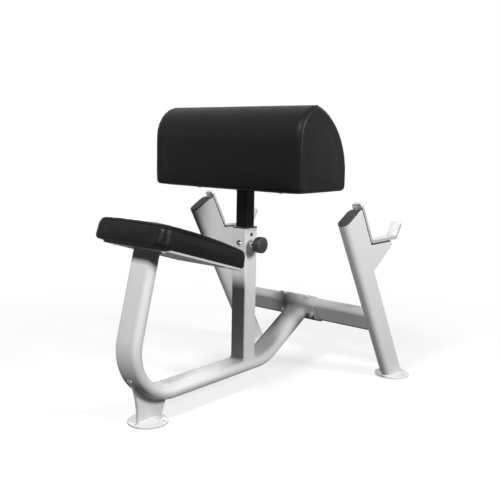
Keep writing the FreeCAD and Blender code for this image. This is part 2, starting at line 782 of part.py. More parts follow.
def seat_board():
    """Board inside the cushion's underside, bored for the seat bolts."""
    return bored_up(seat_board_block(0), seat_bolt_seats(), UP_SEAT)


def seat_bolts():
    """Low bolts from under the seat plate into the seat's board."""
    return Part.makeCompound([button_bolt(seat, UP_SEAT, bolt_grip) for seat in seat_bolt_seats()])


def seat_outline(height_share, draw_share):
    """Outline round the cushion at a share of its height, drawn in by a share of the full draw."""
    inset = seat_side_draw * draw_share
    outline = box_wire(seat_length - 2 * inset, seat_width - 2 * inset, seat_corner_radius - inset / 2)
    fall = math.degrees(math.atan2(seat_back_height - seat_front_height, seat_length))
    outline.rotate(Vector(0, 0, 0), ALONG_Y, fall * height_share)
    outline.translate(ALONG_Z * ((seat_front_height + seat_back_height) / 2 * height_share))
    return outline


def seat_cushion():
    """Cushion wrapped round its board: sides drawn in upwards, a crown that falls to the front."""
    sides = Part.makeLoft([seat_outline(*shares) for shares in zip(seat_height_shares, seat_draw_shares)], True)
    reach = seat_length / 2
    radius = (reach ** 2 + seat_crown ** 2) / (2 * seat_crown)
    shift = radius * (seat_back_height - seat_front_height) / seat_length
    drop = math.sqrt(radius ** 2 - (reach + shift) ** 2)
    dome = Part.makeSphere(radius, Vector(-shift, 0, seat_front_height - drop), ALONG_Y)
    return on_seat(sides.common(dome), 0, seat_plate_thickness).cut(seat_board_block(board_gap))


def nodes():
    """Every node's name and shape."""
    made = {
        "main_rail": main_rail(),
        "seat_foot_gusset": seat_foot_gusset(),
        "seat_foot_plate": seat_foot_plate(),
        "seat_plate": seat_plate(),
        "seat_board": seat_board(),
        "seat_cushion": seat_cushion(),
        "seat_bolts": seat_bolts(),
        "post_sleeve": post_sleeve(),
        "sleeve_bush": sleeve_bush(),
        "bush_button": bush_button(),
        "pull_pin_barrel": pull_pin_barrel(),
        "pull_pin_plunger": pull_pin_plunger(),
        "pull_pin_knob": pull_pin_knob(),
        "pad_post": pad_post(),
        "pad_mount_plate": pad_mount_plate(),
        "pad_bolts": pad_bolts(),
        "pad_board": pad_board(),
        "preacher_pad": preacher_pad(),
        "saddle_bracket": saddle_bracket(),
        "saddle_bolts": saddle_bolts(),
        "cross_tube": cross_tube(),
    }
    for name, side in (("left", 1), ("right", -1)):
        made[name + "_upright"] = upright(side)
        made[name + "_upright_cap"] = upright_cap(side)
        made[name + "_foot_plate"] = rack_foot_plate(side)
        made[name + "_bar_hook"] = bar_hook(side)
        made[name + "_hook_liner"] = hook_liner(side)
        made[name + "_hook_plate_outer"] = hook_plate(side, side)
        made[name + "_hook_plate_inner"] = hook_plate(side, -side)
    return made


os.makedirs("parts", exist_ok=True)
for node_name, node_shape in nodes().items():
    node_shape.exportStep("parts/" + node_name + ".step")
    solids = node_shape.Solids
    print(node_name, len(solids), round(sum(solid.Volume for solid in solids)), node_shape.isValid())
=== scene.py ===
"""Dressing of a preacher curl bench: blown pads with sewn seams, weld beads, finishes and a studio.

Metres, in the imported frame: X from the seat towards the rack, Y to the sitter's left, Z up.
"""
import json
import logging
import math
from abc import ABC, abstractmethod
from dataclasses import dataclass, field
from enum import Enum
from typing import Any

import bmesh
import bpy
import numpy as np
from mathutils import Matrix, Vector


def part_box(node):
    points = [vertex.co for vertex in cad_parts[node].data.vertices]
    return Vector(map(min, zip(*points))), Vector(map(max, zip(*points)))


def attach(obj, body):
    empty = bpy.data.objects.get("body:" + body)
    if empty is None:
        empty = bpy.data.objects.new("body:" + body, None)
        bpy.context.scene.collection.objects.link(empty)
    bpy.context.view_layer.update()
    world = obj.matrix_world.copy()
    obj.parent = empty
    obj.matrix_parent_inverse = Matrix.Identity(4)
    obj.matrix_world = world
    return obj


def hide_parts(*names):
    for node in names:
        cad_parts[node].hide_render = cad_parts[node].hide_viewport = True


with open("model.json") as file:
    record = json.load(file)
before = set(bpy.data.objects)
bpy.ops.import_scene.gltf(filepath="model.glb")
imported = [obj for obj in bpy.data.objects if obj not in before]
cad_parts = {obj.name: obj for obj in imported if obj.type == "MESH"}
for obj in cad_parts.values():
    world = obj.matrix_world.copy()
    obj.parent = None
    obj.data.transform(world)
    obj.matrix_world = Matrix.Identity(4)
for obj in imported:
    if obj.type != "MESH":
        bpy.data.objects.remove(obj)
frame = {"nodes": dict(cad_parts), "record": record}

log = logging.getLogger("bench")

Array = np.ndarray
Place = tuple[float, float, float]
Piece = bpy.types.Object
Tree = bpy.types.NodeTree
Node = bpy.types.Node
Socket = bpy.types.NodeSocket
Detail = tuple[Socket, dict[str, Socket]]

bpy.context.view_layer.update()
ALONG_X, ALONG_Y, ALONG_Z = np.eye(3)
SIDES = ((1.0, "left"), (-1.0, "right"))
SEAT_TILT = math.radians(16.5)
WHITE = (1.0, 1.0, 1.0, 1.0)
# Levels between which a noise texture mostly lies
NOISE_LOW, NOISE_HIGH = 0.3, 0.7


class Body(Enum):
    """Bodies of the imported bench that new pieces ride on."""

    FRAME = "frame"
    CARRIAGE = "pad_carriage"


class Slot(Enum):
    """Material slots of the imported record."""

    PAINT = "frame_paint"
    BLACK = "black_paint"
    ZINC = "zinc_steel"
    HOOK = "hook_steel"
    VINYL = "black_vinyl"
    BOARD = "board"
    PLASTIC = "black_plastic"
    RUBBER = "black_rubber"


def linear(code: str) -> tuple[float, float, float, float]:
    """Turn an sRGB hex colour into linear RGBA.

    Args:
        code: Six hex digits, with or without a leading hash.

    Returns:
        Linear red, green and blue, and an alpha of 1.
    """
    parts = [int(code.lstrip("#")[i:i + 2], 16) / 255.0 for i in (0, 2, 4)]
    straight = [c / 12.92 if c <= 0.04045 else ((c + 0.055) / 1.055) ** 2.4 for c in parts]
    return (straight[0], straight[1], straight[2], 1.0)


def per_metre(size_mm: float) -> float:
    """Texture scale that gives a pattern of this size in millimetres."""
    return 1000.0 / size_mm


def add(tree: Tree, kind: str, values: dict[Any, Any] | None = None,
        links: dict[Any, Socket] | None = None) -> Node:
    """Add a node, set its options and socket values, and link its inputs.

    Args:
        tree: Node tree that takes the node.
        kind: Blender's name of the node type.
        values: Options by attribute name and socket values by input name or number.
        links: Output sockets by the input name or number that they feed.

    Returns:
        The new node.
    """
    node = tree.nodes.new(kind)
    for key, value in (values or {}).items():
        if isinstance(key, int) or key in node.inputs:
            node.inputs[key].default_value = value
        else:
            setattr(node, key, value)
    for key, output in (links or {}).items():
        tree.links.new(output, node.inputs[key])
    return node


@dataclass(frozen=True)
class Finish:
    """A surface finish: what every material here starts from.

    The colour runs between two hex values over a broad cloud of noise, and the roughness between two
    values over a finer one. A third noise, stretched where the surface was drawn or grown along an
    axis, is there for its relief.
    """

    name: str
    colour: str
    colour_far: str
    cloud_mm: float
    rough_low: float
    rough_high: float
    rough_mm: float
    metallic: float = 0.0
    specular: float = 0.5
    noise_mm: float = 1.0
    noise_detail: float = 3.0
    stretch: Place = (1.0, 1.0, 1.0)
    waver: float = 0.0
    depth: float = 0.0001
    relief: float = 0.5

    def material(self) -> bpy.types.Material:
        """Make the material: colour, roughness and relief, with the finish's own detail.

        Returns:
            The material.
        """
        material = bpy.data.materials.new(self.name)
        material.use_nodes = True
        tree = material.node_tree
        tree.nodes.clear()
        coords = add(tree, "ShaderNodeTexCoord").outputs["Object"]
        cloud = add(tree, "ShaderNodeTexNoise", {"Scale": per_metre(self.cloud_mm), "Detail": 4.0},
                    {"Vector": coords})
        tint = add(tree, "ShaderNodeMix",
                   {"data_type": "RGBA", 6: linear(self.colour), 7: linear(self.colour_far)},
                   {0: cloud.outputs["Fac"]})
        haze = add(tree, "ShaderNodeTexNoise", {"Scale": per_metre(self.rough_mm), "Detail": 3.0},
                   {"Vector": coords})
        rough = add(tree, "ShaderNodeMapRange",
                    {"From Min": NOISE_LOW, "From Max": NOISE_HIGH,
                     "To Min": self.rough_low, "To Max": self.rough_high},
                    {"Value": haze.outputs["Fac"]})
        along = add(tree, "ShaderNodeMapping", {"Scale": self.stretch}, {"Vector": coords})
        noise = add(tree, "ShaderNodeTexNoise",
                    {"Scale": per_metre(self.noise_mm), "Detail": self.noise_detail,
                     "Distortion": self.waver},
                    {"Vector": along.outputs["Vector"]})
        colour, heights = self.detail(tree, coords, tint.outputs[2], noise)
        bump = add(tree, "ShaderNodeBump", {"Strength": self.relief, "Distance": self.depth}, heights)
        shader = add(tree, "ShaderNodeBsdfPrincipled",
                     {"Metallic": self.metallic, "Specular IOR Level": self.specular},
                     {"Base Color": colour, "Roughness": rough.outputs["Result"],
                      "Normal": bump.outputs["Normal"]})
        add(tree, "ShaderNodeOutputMaterial", links={"Surface": shader.outputs["BSDF"]})
        return material

    def detail(self, tree: Tree, coords: Socket, tint: Socket, noise: Node) -> Detail:
        """Colour and bump inputs of the finish; here the plain cloud and the plain noise."""
        return tint, {"Height": noise.outputs["Fac"]}


@dataclass(frozen=True)
class PowderCoat(Finish):
    """Sprayed and baked powder: a satin skin with a faint orange-peel ripple and a fine speckle."""

    noise_mm: float = 3.0
    noise_detail: float = 2.0
    depth: float = 0.00006
    speck: str = "#ffffff"
    # The real flakes are under 0.1 mm; they are drawn coarser so that they show.
    speck_mm: float = 1.4
    speck_reach: float = 0.22
    speck_share: float = 0.16

    def detail(self, tree: Tree, coords: Socket, tint: Socket, noise: Node) -> Detail:
        """Scatter flakes over the colour.

        Args:
            tree: The material's node tree.
            coords: Object coordinates.
            tint: Colour of the cloud.
            noise: Noise of the relief.

        Returns:
            The colour, and the bump's inputs.
        """
        specks = add(tree, "ShaderNodeTexVoronoi", {"Scale": per_metre(self.speck_mm)}, {"Vector": coords})
        bright = add(tree, "ShaderNodeMapRange",
                     {"From Min": 0.0, "From Max": self.speck_reach,
                      "To Min": self.speck_share, "To Max": 0.0},
                     {"Value": specks.outputs["Distance"]})
        flake = add(tree, "ShaderNodeMix", {"data_type": "RGBA", 7: linear(self.speck)},
                    {0: bright.outputs["Result"], 6: tint})
        return flake.outputs[2], {"Height": noise.outputs["Fac"]}


@dataclass(frozen=True)
class DrawnMetal(Finish):
    """Plated steel with fine drawn lines along one axis, as left by rolling and polishing."""

    noise_mm: float = 0.9
    noise_detail: float = 4.0
    stretch: Place = (0.05, 1.0, 0.05)
    depth: float = 0.00003
    relief: float = 0.4


@dataclass(frozen=True)
class GrainedVinyl(Finish):
    """Calendered vinyl sheet with a pressed leather grain, drawn tight over foam."""

    noise_mm: float = 9.0
    noise_detail: float = 2.0
    depth: float = 0.00022
    # The real grain is about 1 mm; it is drawn coarser so that it shows.
    pebble_mm: float = 2.6
    pebble_edge: float = 0.3
    warp: float = 0.002
    fold_mm: float = 65.0
    fold_depth: float = 0.0009
    fold_relief: float = 0.35

    def detail(self, tree: Tree, coords: Socket, tint: Socket, noise: Node) -> Detail:
        """Press a grain of pebbles, warped by the noise, into the sheet over broad slack folds.

        Args:
            tree: The material's node tree.
            coords: Object coordinates.
            tint: Colour of the cloud.
            noise: Noise of the warp.

        Returns:
            The colour, and the bump's inputs.
        """
        shift = add(tree, "ShaderNodeVectorMath", {"operation": "MULTIPLY_ADD", 1: (self.warp,) * 3},
                    {0: noise.outputs["Color"], 2: coords})
        pebbles = add(tree, "ShaderNodeTexVoronoi",
                      {"feature": "DISTANCE_TO_EDGE", "Scale": per_metre(self.pebble_mm)},
                      {"Vector": shift.outputs["Vector"]})
        rise = add(tree, "ShaderNodeMapRange", {"From Min": 0.0, "From Max": self.pebble_edge},
                   {"Value": pebbles.outputs["Distance"]})
        folds = add(tree, "ShaderNodeTexNoise", {"Scale": per_metre(self.fold_mm), "Detail": 2.0},
                    {"Vector": coords})
        wide = add(tree, "ShaderNodeBump", {"Strength": self.fold_relief, "Distance": self.fold_depth},
                   {"Height": folds.outputs["Fac"]})
        return tint, {"Height": rise.outputs["Result"], "Normal": wide.outputs["Normal"]}


@dataclass(frozen=True)
class MouldedPlastic(Finish):
    """Injection-moulded plastic from a spark-eroded mould: an even, fine matt texture."""

    noise_mm: float = 1.1
    depth: float = 0.00008


@dataclass(frozen=True)
class RawPly(Finish):
    """Raw plywood: long grain figure on its faces and a rough sawn feel."""

    noise_mm: float = 5.0
    noise_detail: float = 6.0
    stretch: Place = (1.0, 0.06, 1.0)
    waver: float = 0.6
    depth: float = 0.0002
    relief: float = 0.4
    dark: str = "#8a6a43"
    dark_share: float = 0.7
    dark_from: float = 0.45
    dark_to: float = 0.7

    def detail(self, tree: Tree, coords: Socket, tint: Socket, noise: Node) -> Detail:
        """Darken the wood along its fibres.

        Args:
            tree: The material's node tree.
            coords: Object coordinates; not used here.
            tint: Colour of the cloud.
            noise: Noise of the fibres.

        Returns:
            The colour, and the bump's inputs.
        """
        share = add(tree, "ShaderNodeMapRange",
                    {"From Min": self.dark_from, "From Max": self.dark_to, "To Max": self.dark_share},
                    {"Value": noise.outputs["Fac"]})
        figure = add(tree, "ShaderNodeMix", {"data_type": "RGBA", 7: linear(self.dark)},
                     {0: share.outputs["Result"], 6: tint})
        return figure.outputs[2], {"Height": noise.outputs["Fac"]}


FINISHES: dict[Slot, Finish] = {
    # Satin silver-grey polyester powder: pale, soft highlights, hardly any grain from a distance.
    Slot.PAINT: PowderCoat("silver_grey_powder_coat", "#cbcbcb", "#c4c5c6", 90.0, 0.40, 0.50, 24.0,
                           specular=0.06),
    # Satin black enamel on the sliding post and its plate: deep, with a soft streak of light.
    Slot.BLACK: PowderCoat("satin_black_enamel", "#090909", "#0c0c0e", 60.0, 0.34, 0.48, 18.0,
                           specular=0.09, speck="#3a3a3c"),
    # Bright zinc plating on bolts, pin and button: a clear metal shine.
    Slot.ZINC: DrawnMetal("bright_zinc_plate", "#e2e2e4", "#cfd0d3", 8.0, 0.2, 0.34, 5.0, metallic=1.0),
    # Pale satin zinc on the bar hooks, rubbed by the bar: nearly white under the lamps.
    Slot.HOOK: DrawnMetal("satin_zinc_plate", "#e0e0e0", "#d6d6d6", 30.0, 0.30, 0.42, 12.0,
                          metallic=1.0, stretch=(1.0, 0.06, 1.0)),
    # Black leather-grain vinyl over foam: dark faces with broad soft lights on the shoulders.
    Slot.VINYL: GrainedVinyl("black_leather_grain_vinyl", "#0c0c0d", "#111112", 45.0, 0.34, 0.44, 30.0,
                             specular=0.115),
    # Raw plywood boards, seen only from below.
    Slot.BOARD: RawPly("raw_birch_plywood", "#c9a878", "#b8925f", 120.0, 0.6, 0.75, 15.0),
    # Moulded nylon and polythene: matt black caps, bush and knob.
    Slot.PLASTIC: MouldedPlastic("moulded_black_nylon", "#222224", "#2b2b2d", 20.0, 0.42, 0.56, 6.0,
                                 specular=0.4),
    # Solid rubber strip under the hooks: dull and even.
    Slot.RUBBER: MouldedPlastic("black_strip_rubber", "#141414", "#1b1b1b", 15.0, 0.62, 0.75, 4.0,
                                specular=0.3, noise_mm=1.6),
}


class Paintbox:
    """Makes each finish's material once and hands it to nodes and pieces."""

    def __init__(self) -> None:
        """Build every material."""
        self.materials = {slot: finish.material() for slot, finish in FINISHES.items()}

    def dress_nodes(self) -> None:
        """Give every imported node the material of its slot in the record."""
        for entry in frame["record"]["subparts"]:
            node = frame["nodes"][entry["node"]]
            node.data.materials.clear()
            node.data.materials.append(self.materials[Slot(entry["material_slot"])])

    def dress(self, piece: Piece, slot: Slot, body: Body) -> None:
        """Give a new piece its material and slot, and let it ride on a body.

        Args:
            piece: The piece.
            slot: Slot of its finish.
            body: Body that carries it.
        """
        piece.data.materials.append(self.materials[slot])
        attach(piece, body.value)
        log.info("%s: %d vertices on %s", piece.name, len(piece.data.vertices), body.value)


def new_piece(name: str, points: Array, faces: Array, smooth: bool = True) -> Piece:
    """Put points and quads into an object at the origin.

    Args:
        name: Name of the piece.
        points: Vertex places, N by 3.
        faces: Quads as vertex numbers, M by 4.
        smooth: Whether the faces are shaded smooth.

    Returns:
        The linked object.
    """
    mesh = bpy.data.meshes.new(name)
    mesh.from_pydata(points.tolist(), [], faces.tolist())
    mesh.polygons.foreach_set("use_smooth", np.full(len(mesh.polygons), smooth))
    mesh.update()
    piece = bpy.data.objects.new(name, mesh)
    bpy.context.scene.collection.objects.link(piece)
    return piece


def skin(name: str, rings: Array, closed: bool = True, smooth: bool = True) -> Piece:
    """Join rings of points with quads, cap the ends of an open run and point the faces outwards.

    Args:
        name: Name of the piece.
        rings: Places round each ring along the run, R by C by 3.
        closed: Whether the last ring joins the first.
        smooth: Whether the faces are shaded smooth.

    Returns:
        The linked object.
    """
    rows, columns = rings.shape[:2]
    row = np.arange(rows if closed else rows - 1)[:, None]
    column = np.arange(columns)[None, :]
    after, beside = (row + 1) % rows, (column + 1) % columns
    quads = np.stack([row * columns + column, row * columns + beside,
                      after * columns + beside, after * columns + column], axis=-1)
    piece = new_piece(name, rings.reshape(-1, 3), quads.reshape(-1, 4), smooth)
    shell = bmesh.new()
    shell.from_mesh(piece.data)
    bmesh.ops.holes_fill(shell, edges=[e for e in shell.edges if e.is_boundary])
    bmesh.ops.recalc_face_normals(shell, faces=shell.faces)
    shell.to_mesh(piece.data)
    shell.free()
    return piece


def unit(vectors: Array) -> Array:
    """Vectors scaled to length one."""
    return vectors / np.maximum(np.linalg.norm(vectors, axis=-1, keepdims=True), 1e-12)


def tilted(angle: float) -> tuple[Array, Array]:
    """X and Z directions after a turn about Y by an angle, which dips X."""
    c, s = math.cos(angle), math.sin(angle)
    return np.array([c, 0.0, -s]), np.array([s, 0.0, c])


def at_height(flat: Array, height: float) -> Array:
    """Places in a plane, N by 2, set at a height."""
    return np.column_stack([flat, np.full(len(flat), height)])


def run_along(line: Array) -> Array:
    """Length along a line up to each of its points."""
    return np.concatenate([[0.0], np.cumsum(np.linalg.norm(np.diff(line, axis=0), axis=1))])


@dataclass(frozen=True)
class WeldLine:
    """Corner between two welded surfaces: its path, N by 3, and the directions from it along both.

    A direction is one vector for the whole path, or one for each of its points.
    """

    name: str
    root: Array
    toe_a: Array
    toe_b: Array
    closed: bool = True
    slot: Slot = Slot.PAINT
    body: Body = Body.FRAME


@dataclass
class Welds:
    """Fillet beads round the welded joints, painted over with the frame.

    A bead's section is a triangle with a bulged face: it runs from a toe on one surface to a toe on
    the other, and back to the root where the two meet. Along the path its size swells and sinks in
    even ripples, as a run of overlapping drops of metal does. An open bead tapers at its ends.
    """

    leg: float = 0.0048
    bulge: float = 0.22
    ripple_pitch: float = 0.0042
    ripple: float = 0.10
    root_share: float = 0.12
    end_share: float = 0.02
    across: int = 6

    def bead(self, line: WeldLine) -> Piece:
        """Carry the bead's section along a weld's line.

        Args:
            line: The corner that it fills.

        Returns:
            The bead.
        """
        root = line.root[:, None, :]
        toe_a = np.broadcast_to(line.toe_a, line.root.shape)[:, None, :]
        toe_b = np.broadcast_to(line.toe_b, line.root.shape)[:, None, :]
        run = run_along(line.root)
        swell = 1.0 + self.ripple * np.abs(np.sin(math.pi * run / self.ripple_pitch))
        if not line.closed:
            swell *= np.sqrt(np.clip(np.minimum(run, run[-1] - run) / self.leg, self.end_share, 1.0))
        size = (self.leg * swell)[:, None, None]
        share = np.linspace(0.0, 1.0, self.across)[None, :, None]
        out = unit(toe_a + toe_b)
        chord = toe_a * (1.0 - share) + toe_b * share
        face = root + size * (chord + out * self.bulge * np.sin(math.pi * share))
        rings = np.concatenate([face, root - out * (self.root_share * size)], axis=1)
        return skin(line.name, rings, line.closed)


@dataclass
class BenchFrame:
    """Welded frame: its tube section and the lines of its joints."""

    tube_half_depth: float = 0.0475
    tube_half_width: float = 0.020
    rail_top: float = 0.102
    rack_lean: float = math.radians(29.8)
    rack_centre: Place = (0.341120, 0.0, 0.228110)
    leg_lean: float = math.radians(14.5)
    leg_corner: Place = (-0.560, 0.0, 0.082)
    leg_length: float = 0.461
    leg_bend: float = 0.150
    upright_half_span: float = 0.330
    saddle_face: float = 0.0252
    foot_plate: float = 0.006
    gusset_half: float = 0.005
    gusset_foot: tuple[float, float] = (-0.484, -0.394)
    gusset_start: float = 0.01
    horn_drop: float = 0.003
    sleeve_half: float = 0.030
    sleeve_corner: float = 0.005
    post_half: float = 0.02245
    post_corner: float = 0.004
    points: int = 260
    corner_points: int = 7

    def oval(self) -> tuple[Array, Array]:
        """Flat-oval outline of the tube, stepped evenly: two half circles joined by straight runs.

        Each place is a point of the section's spine plus the half width along the outward direction.

        Returns:
            Places along the long and short sides, and outward directions, N by 2 each.
        """
        radius = self.tube_half_width
        half = self.tube_half_depth - radius
        arc, straight = math.pi * radius, 2.0 * half
        s = np.linspace(0.0, 2.0 * (arc + straight), self.points, endpoint=False)
        part = np.searchsorted(np.cumsum([arc, straight, arc]), s, side="right")
        local = s - np.array([0.0, arc, arc + straight, 2.0 * arc + straight])[part]
        turn = local / radius - math.pi / 2.0
        parts = [part == 0, part == 1, part == 2]
        spine = np.select(parts, [half, half - local, -half], local - half)
        out = np.stack([np.select(parts, [np.cos(turn), 0.0, -np.cos(turn)], 0.0),
                        np.select(parts, [np.sin(turn), 1.0, -np.sin(turn)], -1.0)], axis=1)
        return np.stack([spine, np.zeros_like(s)], axis=1) + radius * out, out

    def square(self, half: float, corner: float) -> tuple[Array, Array]:
        """Rounded square outline, stepped evenly: four quarter circles joined by straight runs.

        Args:
            half: Half of its side.
            corner: Radius of its corners.

        Returns:
            Places and outward directions, N by 2 each.
        """
        quarter = np.repeat(np.arange(4), self.corner_points)
        turn = np.tile(np.linspace(0.0, math.pi / 2.0, self.corner_points), 4) + quarter * math.pi / 2.0
        out = np.stack([np.cos(turn), np.sin(turn)], axis=1)
        signs = np.array([[1, 1], [-1, 1], [-1, -1], [1, -1]])[quarter]
        key = np.column_stack([signs * (half - corner) + out * corner, out])
        loop = np.vstack([key, key[:1]])
        run = run_along(loop[:, :2])
        s = np.linspace(0.0, run[-1], self.points, endpoint=False)
        even = np.stack([np.interp(s, run, column) for column in loop.T], axis=1)
        return even[:, :2], unit(even[:, 2:])

    def post_lines(self, leg: float) -> list[WeldLine]:
        """Lines round the sleeve on the rail and round the post under the pad's plate.

        Past the rail's flat, its edge falls by the square of the distance over the tube's width, and
        the sleeve's bead follows it down.

        Args:
            leg: Reach of a bead along a surface.

        Returns:
            The two lines.
        """
        place, out = self.square(self.sleeve_half, self.sleeve_corner)
        flat_half = self.tube_half_depth - self.tube_half_width
        past = np.maximum(np.abs(place[:, 1] + out[:, 1] * leg) - flat_half, 0.0)
        toe = np.column_stack([out, past ** 2 / (-2.0 * self.tube_half_width * leg)])
        sleeve = WeldLine("weld_sleeve_base", at_height(place, self.rail_top), toe, ALONG_Z)
        place, out = self.square(self.post_half, self.post_corner)
        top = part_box("pad_mount_plate")[0].z
        post = WeldLine("weld_post_top", at_height(place, top), at_height(out, 0.0), -ALONG_Z,
                        slot=Slot.BLACK, body=Body.CARRIAGE)
        return [sleeve, post]

    def rack_lines(self) -> list[WeldLine]:
        """Lines round the uprights' feet, the cross tube's ends and the rail's end on the saddle.

        Returns:
            The five lines.
        """
        place, out = self.oval()
        off_rack, up_rack = tilted(-self.rack_lean)
        centre = np.array(self.rack_centre)
        lines = []
        for side, label in SIDES:
            hub = centre + ALONG_Y * (side * self.upright_half_span)
            flat = hub + place @ np.stack([off_rack, ALONG_Y])
            root = flat + ((self.foot_plate - flat[:, 2]) / up_rack[2])[:, None] * up_rack
            lines.append(WeldLine(f"weld_{label}_foot", root, at_height(out, 0.0), up_rack))
            end = hub - ALONG_Y * (side * self.tube_half_width)
            axes = np.stack([up_rack, off_rack])
            lines.append(WeldLine(f"weld_{label}_cross", end + place @ axes, out @ axes, -side * ALONG_Y))
        end = centre - off_rack * self.saddle_face
        axes = np.stack([ALONG_Y, up_rack])
        return lines + [WeldLine("weld_rail_saddle", end + place @ axes, out @ axes, -off_rack)]

    def leg_lines(self) -> list[WeldLine]:
        """Line round the leg's top, whose slanted end meets the seat plate.

        Returns:
            The line alone.
        """
        place, out = self.oval()
        off_leg, up_leg = tilted(self.leg_lean)
        up_seat = tilted(SEAT_TILT)[1]
        top = np.array(self.leg_corner) + up_leg * self.leg_length
        axes = np.stack([ALONG_Y, off_leg])
        flat = place @ axes
        root = top + flat - ((flat @ up_seat) / (up_leg @ up_seat))[:, None] * up_leg
        toe = out @ axes
        toe = unit(toe - (toe @ up_seat)[:, None] * up_seat)
        return [WeldLine("weld_leg_top", root, toe, -up_leg)]

    def gusset_lines(self) -> list[WeldLine]:
        """Lines along both sides of the gusset, round the leg's bend above and on the foot plate below.

        Returns:
            The four lines.
        """
        reach = self.leg_bend * math.tan((math.pi / 2.0 + self.leg_lean) / 2.0)
        bend = np.array(self.leg_corner) + ALONG_X * reach + ALONG_Z * self.leg_bend
        radius = self.leg_bend + self.tube_half_width
        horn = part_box("seat_foot_gusset")[1].z - self.horn_drop
        turn = np.linspace(self.gusset_start, math.acos((bend[2] - horn) / radius), self.points // 2)
        ray = np.column_stack([-np.sin(turn), np.zeros_like(turn), -np.cos(turn)])
        rail = bend + ray * radius
        along = np.linspace(*self.gusset_foot, self.points // 3)
        foot = np.outer(along, ALONG_X) + ALONG_Z * self.foot_plate
        lines = []
        for side, label in SIDES:
            face = side * ALONG_Y
            off = face * self.gusset_half
            lines.append(WeldLine(f"weld_gusset_rail_{label}", rail + off, face, ray, closed=False))
            lines.append(WeldLine(f"weld_gusset_foot_{label}", foot + off, face, ALONG_Z, closed=False))
        return lines

    def build(self, welds: Welds, paints: Paintbox) -> None:
        """Run a bead along each welded joint and dress it.

        Args:
            welds: Maker of the beads.
            paints: Materials.
        """
        for line in self.post_lines(welds.leg) + self.rack_lines() + self.leg_lines() + self.gusset_lines():
            paints.dress(welds.bead(line), line.slot, line.body)


